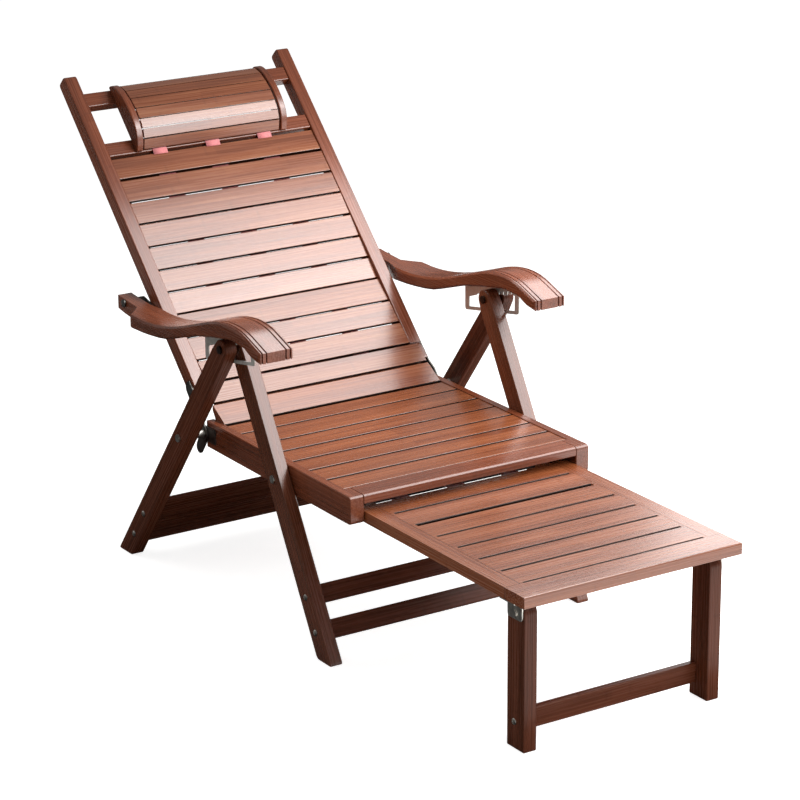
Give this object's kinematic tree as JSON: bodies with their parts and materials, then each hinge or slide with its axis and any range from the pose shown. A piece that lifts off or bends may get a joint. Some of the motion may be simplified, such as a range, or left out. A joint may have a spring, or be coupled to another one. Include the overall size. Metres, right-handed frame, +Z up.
{
  "type": "folding recliner",
  "caption": "Folding lacquered bamboo recliner with slatted seat and back, half-round headrest, curved arms on toothed racks, and a footrest that slides out on folding legs.",
  "frame": {"origin": "on the floor, in the middle of the chair's length and width", "axes": "+Y runs from the footrest towards the back, +X to the right of that view, +Z up"},
  "size_m": [0.7, 1.6434, 0.9285],
  "materials": {
    "bamboo": "satin reddish-brown lacquer over laminated bamboo",
    "bamboo_dark": "satin dark brown lacquer over laminated bamboo",
    "bamboo_slats": "satin reddish-brown lacquer over laminated bamboo slats",
    "steel": "bright zinc-plated steel",
    "webbing": "pink woven webbing"
  },
  "bodies": {
    "rear_frame": {"rear_leg_left": "bamboo_dark", "rear_leg_right": "bamboo_dark", "rear_stretcher_upper": "bamboo_dark", "rear_stretcher_lower": "bamboo_dark", "apex_pin_left": "steel", "apex_pin_right": "steel", "hinge_bolt_left": "steel", "hinge_bolt_right": "steel"},
    "front_legs": {"front_leg_left": "bamboo_dark", "front_leg_right": "bamboo_dark", "front_stretcher_upper": "bamboo_dark", "front_stretcher_lower": "bamboo_dark", "seat_stud_left": "steel", "seat_stud_right": "steel"},
    "seat": {"seat_rail_left": "bamboo_dark", "seat_rail_right": "bamboo_dark", "seat_nose_board": "bamboo", "seat_slat_1": "bamboo", "seat_slat_2": "bamboo", "seat_slat_3": "bamboo", "seat_slat_4": "bamboo", "seat_slat_5": "bamboo", "seat_slat_6": "bamboo", "seat_slat_7": "bamboo", "seat_rear_slat": "bamboo", "seat_hinge_plate_left": "steel", "seat_hinge_plate_right": "steel"},
    "back": {"back_stile_left": "bamboo", "back_stile_right": "bamboo", "back_top_rail": "bamboo", "back_head_rail": "bamboo", "back_slat_1": "bamboo_slats", "back_slat_2": "bamboo_slats", "back_slat_3": "bamboo_slats", "back_slat_4": "bamboo_slats", "back_slat_5": "bamboo_slats", "back_slat_6": "bamboo_slats", "back_slat_7": "bamboo_slats", "back_slat_8": "bamboo_slats", "back_slat_9": "bamboo_slats", "back_slat_10": "bamboo_slats", "back_slat_11": "bamboo_slats", "back_webbing": "webbing", "headrest_cheek_left": "bamboo", "headrest_cheek_right": "bamboo", "headrest_slats": "bamboo_slats", "back_hinge_plate_left": "steel", "back_hinge_plate_right": "steel", "arm_bracket_left": "steel", "arm_bracket_right": "steel"},
    "arm_assembly_left": {"arm_left": "bamboo", "arm_rack_left": "steel"},
    "arm_assembly_right": {"arm_right": "bamboo", "arm_rack_right": "steel"},
    "footrest": {"footrest_frame": "bamboo", "footrest_bracket_left": "steel", "footrest_bracket_right": "steel"},
    "footrest_stand": {"footrest_leg_left": "bamboo_dark", "footrest_leg_right": "bamboo_dark", "footrest_stretcher": "bamboo_dark"}
  },
  "joints": [
    {"name": "leg_fold", "type": "hinge", "parent": "rear_frame", "child": "front_legs", "pos_m": [0, 0.05333, 0.545], "axis": [1, 0, 0], "range_deg": [0, 50]},
    {"name": "seat_fold", "type": "hinge", "parent": "rear_frame", "child": "seat", "pos_m": [0, 0.22883, 0.317], "axis": [1, 0, 0], "range_deg": [-40, 0]},
    {"name": "recline", "type": "hinge", "parent": "rear_frame", "child": "back", "pos_m": [0, 0.22883, 0.317], "axis": [1, 0, 0], "range_deg": [-16, 12]},
    {"name": "arm_tilt_left", "type": "hinge", "parent": "back", "child": "arm_assembly_left", "pos_m": [-0.3, 0.47584, 0.53064], "axis": [1, 0, 0], "range_deg": [-6.4, 8.6]},
    {"name": "arm_tilt_right", "type": "hinge", "parent": "back", "child": "arm_assembly_right", "pos_m": [0.3, 0.47584, 0.53064], "axis": [1, 0, 0], "range_deg": [-6.4, 8.6]},
    {"name": "footrest_slide", "type": "slide", "parent": "seat", "child": "footrest", "axis": [0, 1, 0], "range_m": [0, 0.48]},
    {"name": "footrest_leg_fold", "type": "hinge", "parent": "footrest", "child": "footrest_stand", "pos_m": [0, -0.76687, 0.259], "axis": [1, 0, 0], "range_deg": [0, 90]}
  ],
  "couplings": [
    {"joint": "seat_fold", "follows": "leg_fold", "ratio": -0.8},
    {"joint": "arm_tilt_left", "follows": "recline", "ratio": -0.533},
    {"joint": "arm_tilt_right", "follows": "recline", "ratio": -0.533}
  ]
}
